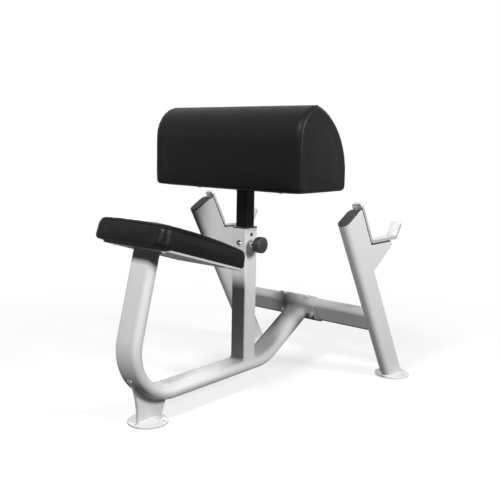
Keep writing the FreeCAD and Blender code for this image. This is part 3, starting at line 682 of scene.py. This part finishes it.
@dataclass
class BlownPad(ABC):
    """A stuffed pad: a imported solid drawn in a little, remeshed, blown up as cloth and filled out again.

    Heights are measured from the pad's base plane, lengths and widths in that plane.
    """

    node: str
    name: str
    body: Body
    origin: Place
    tilt: float
    voxel: float
    fill: float
    board_half: tuple[float, float]
    seam_points: int
    seam_smooth: float
    board_height: float = 0.012
    board_clear: float = 0.0006
    board_hold: float = 0.006
    base_hold: float = 0.003
    draw_in: float = 0.0025
    foot_zone: float = 0.025
    merge: float = 1e-5
    frames: int = 20
    pressure: float = 4.0
    quality: int = 5
    mass: float = 0.3
    stretch: float = 60.0
    bending: float = 8.0
    cap: float = 0.006
    hollow: float = 0.0006
    even_share: float = 0.5
    even_steps: int = 8
    soft_steps: int = 4
    grow: float = 0.0012
    ease_share: float = 0.4
    ease_steps: int = 2
    hem_out: float = 0.006
    hem_in: float = 0.030
    hem_corner: float = 0.034
    hem_thick: float = 0.0008
    hem_points: int = 240
    seam_radius: float = 0.0017
    seam_depth: float = 0.0016
    seam_width: float = 0.0045
    seam_sides: int = 8
    groove_reach: float = 4.0
    groove_batches: int = 40
    faces: Array = field(init=False)

    def axes(self) -> Array:
        """Rows are the pad's own length, width and height directions."""
        along, up = tilted(self.tilt)
        return np.stack([along, ALONG_Y, up])

    def to_pad(self, points: Array) -> Array:
        """Frame places as length, width and height on the pad."""
        return (points - np.array(self.origin)) @ self.axes().T

    def to_frame(self, points: Array) -> Array:
        """Length, width and height on the pad as frame places."""
        return points @ self.axes() + np.array(self.origin)

    def board(self, margin: float) -> Array:
        """Half length, half width and height of the board with a margin."""
        return np.array([*self.board_half, self.board_height]) + margin

    def held(self, local: Array) -> Array:
        """Tell which vertices stay where they are: the base and the board's pocket."""
        return (np.abs(local) < self.board(self.board_hold)).all(axis=1) | (local[:, 2] < self.base_hold)

    @staticmethod
    def read(piece: Piece) -> tuple[Array, Array]:
        """Vertex places and quads of an object with its modifiers in force.

        Args:
            piece: The object.

        Returns:
            Places, N by 3, and quads, M by 4.
        """
        shown = piece.evaluated_get(bpy.context.evaluated_depsgraph_get()).to_mesh()
        points = np.empty(len(shown.vertices) * 3)
        shown.vertices.foreach_get("co", points)
        corners = np.empty(len(shown.loops), dtype=np.int32)
        shown.loops.foreach_get("vertex_index", corners)
        return points.reshape(-1, 3), corners.reshape(-1, 4)

    def start_shape(self) -> Array:
        """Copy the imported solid, merge it, draw it in and remesh it in voxels, whose quads are kept.

        Every length, width and height shrinks in proportion, so that the form's reach falls short
        by the draw-in on each side. The base keeps its outline: the draw-in grows from nought there to
        its full amount at the height of the foot zone.

        Returns:
            Vertex places on the pad.
        """
        mesh = frame["nodes"][self.node].data.copy()
        shell = bmesh.new()
        shell.from_mesh(mesh)
        bmesh.ops.remove_doubles(shell, verts=shell.verts, dist=self.merge)
        shell.to_mesh(mesh)
        shell.free()
        points = np.empty(len(mesh.vertices) * 3)
        mesh.vertices.foreach_get("co", points)
        local = self.to_pad(points.reshape(-1, 3))
        low, high = local.min(axis=0), local.max(axis=0)
        middle = (low + high) / 2.0
        middle[2] = 0.0
        grown = np.clip(local[:, 2:] / self.foot_zone, 0.0, 1.0)
        local = middle + (local - middle) * (1.0 - grown * self.draw_in / (high - middle))
        mesh.vertices.foreach_set("co", self.to_frame(local).ravel())
        mesh.update()
        blank = bpy.data.objects.new(self.name + "_blank", mesh)
        bpy.context.scene.collection.objects.link(blank)
        remesh = blank.modifiers.new("voxels", "REMESH")
        remesh.mode = "VOXEL"
        remesh.voxel_size = self.voxel
        points, self.faces = self.read(blank)
        bpy.data.objects.remove(blank)
        return self.to_pad(points)

    def normals(self, local: Array) -> Array:
        """Vertex normals: the sum of the cross products of the diagonals of the quads at each vertex.

        Args:
            local: Vertex places on the pad.

        Returns:
            Outward directions, N by 3.
        """
        corners = local[self.faces]
        flat = np.cross(corners[:, 2] - corners[:, 0], corners[:, 3] - corners[:, 1])
        total = np.zeros_like(local)
        for corner in self.faces.T:
            np.add.at(total, corner, flat)
        return unit(total)

    def even(self, values: Array, held: Array, share: float, steps: int) -> Array:
        """Draw each vertex's values part of the way to the mean of its neighbours', step by step.

        The neighbours are found along the quads' edges, each of which two quads follow, one each way.

        Args:
            values: Numbers for each vertex, N by any count.
            held: Vertices that keep their values.
            share: Part of the way in each step.
            steps: Number of steps.

        Returns:
            The evened values.
        """
        start, end = self.faces.ravel(), np.roll(self.faces, -1, axis=1).ravel()
        count = np.bincount(start, minlength=len(values))
        shares = np.where(held, 0.0, share)[:, None]
        for _ in range(steps):
            mean = np.stack([np.bincount(start, weights=column[end], minlength=len(values)) / count
                             for column in values.T], axis=1)
            values = values + shares * (mean - values)
        return values

    def blow(self, local: Array) -> Array:
        """Swell the drawn-in form as cloth under pressure, easing its rise off towards the cap.

        Args:
            local: Vertex places on the pad.

        Returns:
            The places after the swelling.
        """
        scene = bpy.context.scene
        piece = new_piece(self.name + "_cloth", self.to_frame(local), self.faces)
        held = self.held(local)
        group = piece.vertex_groups.new(name="held")
        group.add(np.flatnonzero(held).tolist(), 1.0, "REPLACE")
        cloth = piece.modifiers.new("cloth", "CLOTH")
        cloth.settings.quality = self.quality
        cloth.settings.mass = self.mass
        cloth.settings.tension_stiffness = cloth.settings.compression_stiffness = self.stretch
        cloth.settings.shear_stiffness = self.stretch / 2.0
        cloth.settings.bending_stiffness = self.bending
        cloth.settings.use_pressure = True
        cloth.settings.uniform_pressure_force = self.pressure
        cloth.settings.effector_weights.gravity = 0.0
        cloth.settings.vertex_group_mass = "held"
        cloth.point_cache.frame_start, cloth.point_cache.frame_end = 1, self.frames
        scene.frame_start, scene.frame_end = 1, self.frames
        for step in range(1, self.frames + 1):
            scene.frame_set(step)
        blown = self.to_pad(self.read(piece)[0])
        scene.frame_set(1)
        bpy.data.objects.remove(piece)
        normals = self.normals(local)
        swell = ((blown - local) * normals).sum(axis=1)
        log.info("%s: cloth rose %.1f mm at most and sank %.1f mm", self.name,
                 swell.max() * 1e3, swell.min() * -1e3)
        limit = np.where(swell > 0.0, self.cap, self.hollow)
        swell = np.where(held, 0.0, limit * np.tanh(swell / limit))[:, None]
        return local + normals * self.even(swell, held, self.even_share, self.even_steps)

    def shape_up(self, local: Array) -> Array:
        """Round off the steps of the voxels."""
        return self.even(local, self.held(local), self.even_share, self.soft_steps)

    def fill_out(self, local: Array) -> Array:
        """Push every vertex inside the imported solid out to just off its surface, and ease the joins.

        Args:
            local: Vertex places on the pad.

        Returns:
            The filled-out places.
        """
        piece = new_piece(self.name + "_full", self.to_frame(local), self.faces)
        wrap = piece.modifiers.new("full", "SHRINKWRAP")
        wrap.wrap_method, wrap.wrap_mode = "NEAREST_SURFACEPOINT", "OUTSIDE"
        wrap.target, wrap.offset = frame["nodes"][self.node], self.grow
        full = self.to_pad(self.read(piece)[0])
        bpy.data.objects.remove(piece)
        full = np.where(self.held(local)[:, None], local, full)
        return self.even(full, self.held(full), self.ease_share, self.ease_steps)

    def clear_board(self, local: Array) -> Array:
        """Push points that reach into the board out of it, sideways or up, whichever is nearer.

        Args:
            local: Vertex places on the pad.

        Returns:
            The places, clear of the board.
        """
        size = self.board(self.board_clear)
        way = np.sign(local)
        way[:, 2] = 1.0
        deep = size - local * way
        inside = (deep > 0.0).all(axis=1, keepdims=True)
        return np.where(inside & (deep == deep.min(axis=1, keepdims=True)), size * way, local)

    def hem(self) -> Piece:
        """Turned-under edge of the cover: a thin flat ring that laps over the rim of the board from below.

        Its outline is a rounded rectangle outside the board, carried inwards in rows; the rows follow a
        flat loop, down the outer edge, in along the underside and back along the board.

        Returns:
            The ring.
        """
        turn = np.linspace(0.0, 2.0 * math.pi, self.hem_points, endpoint=False)
        way = np.stack([np.cos(turn), np.sin(turn)], axis=1)
        side = np.sign(np.round(way, 6)) * (np.array(self.board_half) - self.hem_corner)
        rows = ((self.hem_out, 0.0), (self.hem_out, -self.hem_thick),
                (-self.hem_in, -self.hem_thick), (-self.hem_in, 0.0))
        rings = np.stack([at_height(side + way * (self.hem_corner + reach), level) for reach, level in rows])
        return skin(self.name + "_hem", self.to_frame(rings), smooth=False)

    @abstractmethod
    def seams(self, local: Array) -> tuple[Array, list[Array]]:
        """Sink the seams into the form.

        Args:
            local: Vertex places on the pad.

        Returns:
            The sunk places, and the paths of the seams' ridges.
        """

    def ring(self, points: Array) -> Array:
        """Smooth closed line through scattered points round a middle.

        Its radius and its height at each angle are the means of the points' radii and heights,
        weighed by a bell curve of the difference in angle.

        Args:
            points: Two places in a plane, relative to the middle, and a height, N by 3.

        Returns:
            The line, with one row for each point of a seam.
        """
        angle, radius = np.arctan2(points[:, 1], points[:, 0]), np.hypot(points[:, 0], points[:, 1])
        turn = np.linspace(-math.pi, math.pi, self.seam_points, endpoint=False)
        apart = (turn[:, None] - angle[None, :] + math.pi) % (2.0 * math.pi) - math.pi
        weight = np.exp(-(apart / self.seam_smooth) ** 2) + 1e-30
        weight /= weight.sum(axis=1, keepdims=True)
        mean = weight @ radius
        return np.stack([np.cos(turn) * mean, np.sin(turn) * mean, weight @ points[:, 2]], axis=1)

    def groove(self, local: Array, normals: Array, path: Array) -> Array:
        """Shifts that press a groove into the form along a path.

        Each vertex sinks by the groove's depth times a bell curve of its distance from the path.

        Args:
            local: Vertex places on the pad.
            normals: Their outward directions.
            path: Closed line on the pad, N by 3.

        Returns:
            A shift for each vertex.
        """
        reach = self.groove_reach * self.seam_width
        near = ((local > path.min(axis=0) - reach) & (local < path.max(axis=0) + reach)).all(axis=1)
        apart = np.full(len(local), np.inf)
        for batch in np.array_split(np.flatnonzero(near), self.groove_batches):
            apart[batch] = np.linalg.norm(local[batch][:, None, :] - path[None, :, :], axis=2).min(axis=1)
        return normals * (-self.seam_depth * np.exp(-(apart / self.seam_width) ** 2))[:, None]

    def ridge(self, name: str, path: Array) -> Piece:
        """Round ridge of a sewn seam: a circle carried along a closed path.

        Args:
            name: Name of the piece.
            path: Closed line on the pad, N by 3.

        Returns:
            The ridge.
        """
        ahead = unit(np.roll(path, -1, axis=0) - np.roll(path, 1, axis=0))
        out = path - path.mean(axis=0)
        out = unit(out - (out * ahead).sum(axis=1, keepdims=True) * ahead)
        side = np.cross(ahead, out)[:, None, :]
        turn = np.linspace(0.0, 2.0 * math.pi, self.seam_sides, endpoint=False)[None, :, None]
        rings = path[:, None, :] + self.seam_radius * (np.cos(turn) * out[:, None, :] + np.sin(turn) * side)
        return skin(name, self.to_frame(rings))

    def build(self, paints: Paintbox) -> None:
        """Make the pad, its hem and its seams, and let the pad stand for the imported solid.

        Args:
            paints: Materials.
        """
        local = self.start_shape()
        local = self.blow(local)
        local = self.clear_board(self.fill_out(self.shape_up(local)))
        local, paths = self.seams(local)
        pad = new_piece(self.name, self.to_frame(local), self.faces)
        rounding = pad.modifiers.new("rounding", "SUBSURF")
        rounding.levels = rounding.render_levels = 1
        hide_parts(self.node)
        paints.dress(pad, Slot.VINYL, self.body)
        paints.dress(self.hem(), Slot.VINYL, self.body)
        for number, path in enumerate(paths, 1):
            paints.dress(self.ridge(f"{self.name}_seam_{number}", path), Slot.VINYL, self.body)


@dataclass
class SeatCushion(BlownPad):
    """Tilted seat cushion with a seam round the edge of its top panel."""

    node: str = "seat_cushion"
    name: str = "blown_seat"
    body: Body = Body.FRAME
    origin: Place = (-0.347957, 0.0, 0.505953)
    tilt: float = SEAT_TILT
    voxel: float = 0.005
    fill: float = 0.8
    board_half: tuple[float, float] = (0.174, 0.137)
    seam_points: int = 360
    seam_smooth: float = 0.035
    seam_sink: float = 0.5
    shoulder: tuple[float, float] = (0.42, 0.72)
    shoulder_low: float = 0.024
    fullness: float = 0.006
    full_height: float = 0.042
    full_spread: float = 0.026
    back_lift: float = 0.006

    def shape_up(self, local: Array) -> Array:
        """Let the sides stand out, most at the corners, so that they pull in between them.

        A side vertex moves outwards by a bell curve of its height times a share that runs from a half
        at the middle of a side to one at a corner. Towards the back end the top rises a little, by the
        square of the distance from the middle.

        Args:
            local: Vertex places on the pad.

        Returns:
            The shaped places.
        """
        normals = self.normals(local)
        length, height = local[:, 0], local[:, 2]
        flat = np.hypot(normals[:, 0], normals[:, 1])
        corner = 0.5 + np.abs(normals[:, 0] * normals[:, 1]) / np.maximum(flat, 1e-6) ** 2
        bell = np.exp(-((height - self.full_height) / self.full_spread) ** 2)
        out = self.fullness * bell * corner * np.clip(height / self.foot_zone, 0.0, 1.0)
        back = np.clip(-length / length.max(), 0.0, 1.0) ** 2
        lift = self.back_lift * back * np.clip(height / self.full_height, 0.0, 1.0)
        shift = np.column_stack([normals[:, :2] * out[:, None], lift])
        return super().shape_up(local + np.where(self.held(local)[:, None], 0.0, shift))

    def seams(self, local: Array) -> tuple[Array, list[Array]]:
        """Sink a groove along the shoulder, where the side turns over into the top.

        Args:
            local: Vertex places on the pad.

        Returns:
            The sunk places, and the path of the seam's ridge.
        """
        normals = self.normals(local)
        low, high = self.shoulder
        edge = (normals[:, 2] > low) & (normals[:, 2] < high) & (local[:, 2] > self.shoulder_low)
        path = self.ring(local[edge])
        outward = at_height(unit(path[:, :2]), 1.0) * math.sqrt(0.5)
        ridge = path - outward * (self.seam_sink * self.seam_depth)
        return local + self.groove(local, normals, path), [ridge]


@dataclass
class ArmPad(BlownPad):
    """Thick sloping arm pad: one wrap of vinyl with an end panel sewn in at each end."""

    node: str = "preacher_pad"
    name: str = "blown_arm_pad"
    body: Body = Body.CARRIAGE
    origin: Place = (0.006, 0.0, 0.694)
    tilt: float = 0.0
    voxel: float = 0.006
    fill: float = 0.85
    board_half: tuple[float, float] = (0.105, 0.284)
    even_steps: int = 40
    seam_points: int = 420
    seam_smooth: float = 0.02
    seam_radius: float = 0.0016
    seam_depth: float = 0.0010
    seam_width: float = 0.0035
    seam_sink: float = 0.8
    seam_band: float = 0.005
    wrap_limit: float = 0.95
    half_width: float = 0.308
    middle_height: float = 0.12
    end_inset: float = 0.008
    end_zone: float = 0.035
    end_gain: float = 0.0015
    crisp: float = 0.006
    panel_reach: float = 0.10

    def spokes(self, local: Array) -> Array:
        """Vectors in the plane of an end panel, from its middle to each place."""
        return local * (ALONG_X + ALONG_Z) - ALONG_Z * self.middle_height

    def fill_out(self, local: Array) -> Array:
        """Fill the form out, spread its end panels into the rounding round them, and lengthen it a little.

        A vertex moves away from the middle of the end by a set amount times what its normal's part in the
        end's plane falls short of one: not at all on the wrap, and in full on an end panel near its rim.

        Args:
            local: Vertex places on the pad.

        Returns:
            The filled-out places.
        """
        local = super().fill_out(local)
        normals = self.normals(local)
        spoke = self.spokes(local)
        spoke /= np.maximum(np.linalg.norm(spoke, axis=1, keepdims=True), self.panel_reach)
        spread = (np.abs(local[:, 1]) > self.half_width - self.end_zone) & ~self.held(local)
        turned = np.where(spread, 1.0 - np.hypot(normals[:, 0], normals[:, 2]), 0.0)
        local = local + spoke * (self.crisp * turned)[:, None]
        return local * (1.0 + ALONG_Y * (self.end_gain / self.half_width))

    def seams(self, local: Array) -> tuple[Array, list[Array]]:
        """Sink a groove round each end at a set distance from it.

        Args:
            local: Vertex places on the pad.

        Returns:
            The sunk places, and the paths of the two ridges.
        """
        normals = self.normals(local)
        wrap = np.abs(normals[:, 1]) < self.wrap_limit
        place = self.half_width + self.end_gain - self.end_inset
        sunk, paths = local.copy(), []
        for side, _ in SIDES:
            edge = wrap & (np.abs(side * local[:, 1] - place) < self.seam_band)
            line = self.ring(self.spokes(local[edge])[:, [0, 2, 1]])
            path = line[:, [0, 2, 1]] + ALONG_Y * (side * place) + ALONG_Z * self.middle_height
            sunk += self.groove(local, normals, path)
            paths.append(path - unit(self.spokes(path)) * (self.seam_sink * self.seam_depth))
        return sunk, paths


@dataclass(frozen=True)
class Lamp:
    """A square soft lamp: its middle, side and power in watts."""

    name: str
    place: Place
    side: float
    watts: float


@dataclass
class Studio:
    """White room: floor, three soft lamps, a white surround and the photograph's camera."""

    lamps: tuple[Lamp, ...] = (Lamp("left_lamp", (-2.556, -0.446, 2.945), 0.6, 136.0),
                               Lamp("right_lamp", (0.316, -2.85, 1.76), 0.8, 102.0),
                               Lamp("back_lamp", (2.4, 2.9, 1.05), 1.2, 50.0))
    aim: Place = (0.0, 0.0, 0.45)
    surround: float = 0.035
    floor_half: float = 9.0
    floor_drop: float = 0.0004
    floor_white: float = 0.72
    floor_fade: tuple[float, float] = (0.7, 1.9)
    floor_mirrored: float = 0.35
    floor_pale: str = "#fbfbfb"
    floor_thrown: str = "#303030"
    # Painted shade: the dark colour of the floor under the foot plates.
    floor_painted_shade: str = "#161616"
    feet: tuple[Place, ...] = ((-0.443, 0.0, 0.0), (0.47177, 0.33, 0.0), (0.47177, -0.33, 0.0))
    foot_radius: float = 0.06
    lens_mm: float = 51.2546
    sensor_mm: float = 36.0
    sight: tuple[float, float] = (0.05, 60.0)
    eye: Place = (-1.83906, -1.54306, 0.85317)
    right: Place = (0.63902, -0.76897, 0.01906)
    up: Place = (0.10593, 0.11251, 0.98799)
    back: Place = (-0.76187, -0.62933, 0.15335)

    def camera(self) -> None:
        """Set the camera at the photograph's place, angle and lens."""
        data = bpy.data.cameras.new("camera")
        data.lens = self.lens_mm
        data.sensor_width = self.sensor_mm
        data.clip_start, data.clip_end = self.sight
        camera = bpy.data.objects.new("camera", data)
        bpy.context.scene.collection.objects.link(camera)
        turn = Matrix((self.right, self.up, self.back)).transposed()
        camera.matrix_world = Matrix.Translation(self.eye) @ turn.to_4x4()
        bpy.context.scene.camera = camera

    def hang(self, lamp: Lamp) -> None:
        """Hang a lamp that faces the bench.

        Args:
            lamp: The lamp.
        """
        data = bpy.data.lights.new(lamp.name, "AREA")
        data.shape = "SQUARE"
        data.size = lamp.side
        data.energy = lamp.watts
        hung = bpy.data.objects.new(lamp.name, data)
        bpy.context.scene.collection.objects.link(hung)
        hung.location = lamp.place
        hung.rotation_euler = (hung.location - Vector(self.aim)).to_track_quat("Z", "Y").to_euler()

    @staticmethod
    def eye_mask(tree: Tree, mirrored: float) -> Socket:
        """Make a mask of what the eye sees, straight on or in metal and glass, against thrown light.

        Args:
            tree: Node tree that takes the nodes.
            mirrored: How much of the white shows in reflections.

        Returns:
            Socket that is 1 straight on, this share in reflections and 0 for thrown light.
        """
        path = add(tree, "ShaderNodeLightPath")
        mirror = add(tree, "ShaderNodeMath", {"operation": "MULTIPLY", 1: mirrored},
                     {0: path.outputs["Is Glossy Ray"]})
        sharp = add(tree, "ShaderNodeMath", {"operation": "MAXIMUM"},
                    {0: path.outputs["Is Camera Ray"], 1: mirror.outputs["Value"]})
        return add(tree, "ShaderNodeMath", {"operation": "MAXIMUM"},
                   {0: sharp.outputs["Value"], 1: path.outputs["Is Transmission Ray"]}).outputs["Value"]

    def bare_mask(self, tree: Tree, coords: Socket) -> Socket:
        """Make a mask of the floor that no foot plate covers; under the plates the floor is painted dark as
        shade.

        Args:
            tree: Node tree that takes the nodes.
            coords: Object coordinates of the floor.

        Returns:
            Socket that is 0 under a foot plate and 1 elsewhere.
        """
        bare = None
        for foot in self.feet:
            away = add(tree, "ShaderNodeVectorMath", {"operation": "DISTANCE", 1: foot}, {0: coords})
            clear = add(tree, "ShaderNodeMath", {"operation": "GREATER_THAN", 1: self.foot_radius},
                        {0: away.outputs["Value"]}).outputs["Value"]
            bare = clear if bare is None else add(tree, "ShaderNodeMath", {"operation": "MULTIPLY"},
                                                  {0: bare, 1: clear}).outputs["Value"]
        return bare

    def floor(self) -> None:
        """Lay the floor: white to the eye, with a pale shadow and a painted shade under the foot plates, and
        dull to the light that it throws back.
        """
        corners = np.array([[-1.0, -1.0], [1.0, -1.0], [1.0, 1.0], [-1.0, 1.0]]) * self.floor_half
        piece = new_piece("floor", at_height(corners, -self.floor_drop), np.array([[0, 1, 2, 3]]))
        material = bpy.data.materials.new("white_floor")
        material.use_nodes = True
        tree = material.node_tree
        tree.nodes.clear()
        coords = add(tree, "ShaderNodeTexCoord").outputs["Object"]
        eye = self.eye_mask(tree, self.floor_mirrored)
        bare = self.bare_mask(tree, coords)
        # Under the foot plates the floor shows only through their holes; there it is painted dark, a painted
        # shade for the light that the plates block.
        pale = add(tree, "ShaderNodeMix",
                   {"data_type": "RGBA", 6: linear(self.floor_painted_shade), 7: linear(self.floor_pale)},
                   {0: bare})
        seen = add(tree, "ShaderNodeBsdfDiffuse", links={"Color": pale.outputs[2]})
        thrown = add(tree, "ShaderNodeBsdfDiffuse", {"Color": linear(self.floor_thrown)})
        lit = add(tree, "ShaderNodeMixShader",
                  links={0: eye, 1: thrown.outputs["BSDF"], 2: seen.outputs["BSDF"]})
        # Away from the bench the floor's own white takes over, so that it runs into the surround.
        far = add(tree, "ShaderNodeVectorMath", {"operation": "LENGTH"}, {0: coords})
        start, end = self.floor_fade
        white = add(tree, "ShaderNodeMapRange",
                    {"From Min": start, "From Max": end, "To Min": self.floor_white},
                    {"Value": far.outputs["Value"]})
        uncovered = add(tree, "ShaderNodeMath", {"operation": "MULTIPLY"},
                        {0: white.outputs["Result"], 1: bare})
        shown = add(tree, "ShaderNodeMath", {"operation": "MULTIPLY"},
                    {0: uncovered.outputs["Value"], 1: eye})
        glow = add(tree, "ShaderNodeEmission", {"Color": WHITE, "Strength": 1.0})
        mixed = add(tree, "ShaderNodeMixShader",
                    links={0: shown.outputs["Value"], 1: lit.outputs["Shader"],
                           2: glow.outputs["Emission"]})
        add(tree, "ShaderNodeOutputMaterial", links={"Surface": mixed.outputs["Shader"]})
        piece.data.materials.append(material)

    def world(self) -> None:
        """Surround of white to the eye and in reflections, and a low even light on the bench."""
        world = bpy.data.worlds.new("surround")
        world.use_nodes = True
        tree = world.node_tree
        tree.nodes.clear()
        strength = add(tree, "ShaderNodeMapRange", {"To Min": self.surround, "To Max": 1.0},
                       {"Value": self.eye_mask(tree, 1.0)})
        sky = add(tree, "ShaderNodeBackground", {"Color": WHITE}, {"Strength": strength.outputs["Result"]})
        add(tree, "ShaderNodeOutputWorld", links={"Surface": sky.outputs["Background"]})
        bpy.context.scene.world = world

    def build(self) -> None:
        """Set up the whole studio."""
        bpy.context.scene.view_settings.view_transform = "Standard"
        self.camera()
        for lamp in self.lamps:
            self.hang(lamp)
        self.floor()
        self.world()


def main() -> None:
    """Build the bench's dressing in order and report each piece."""
    logging.basicConfig(level=logging.INFO, format="%(name)s %(message)s")
    paints = Paintbox()
    paints.dress_nodes()
    BenchFrame().build(Welds(), paints)
    SeatCushion().build(paints)
    ArmPad().build(paints)
    Studio().build()


if __name__ == "__main__":
    main()
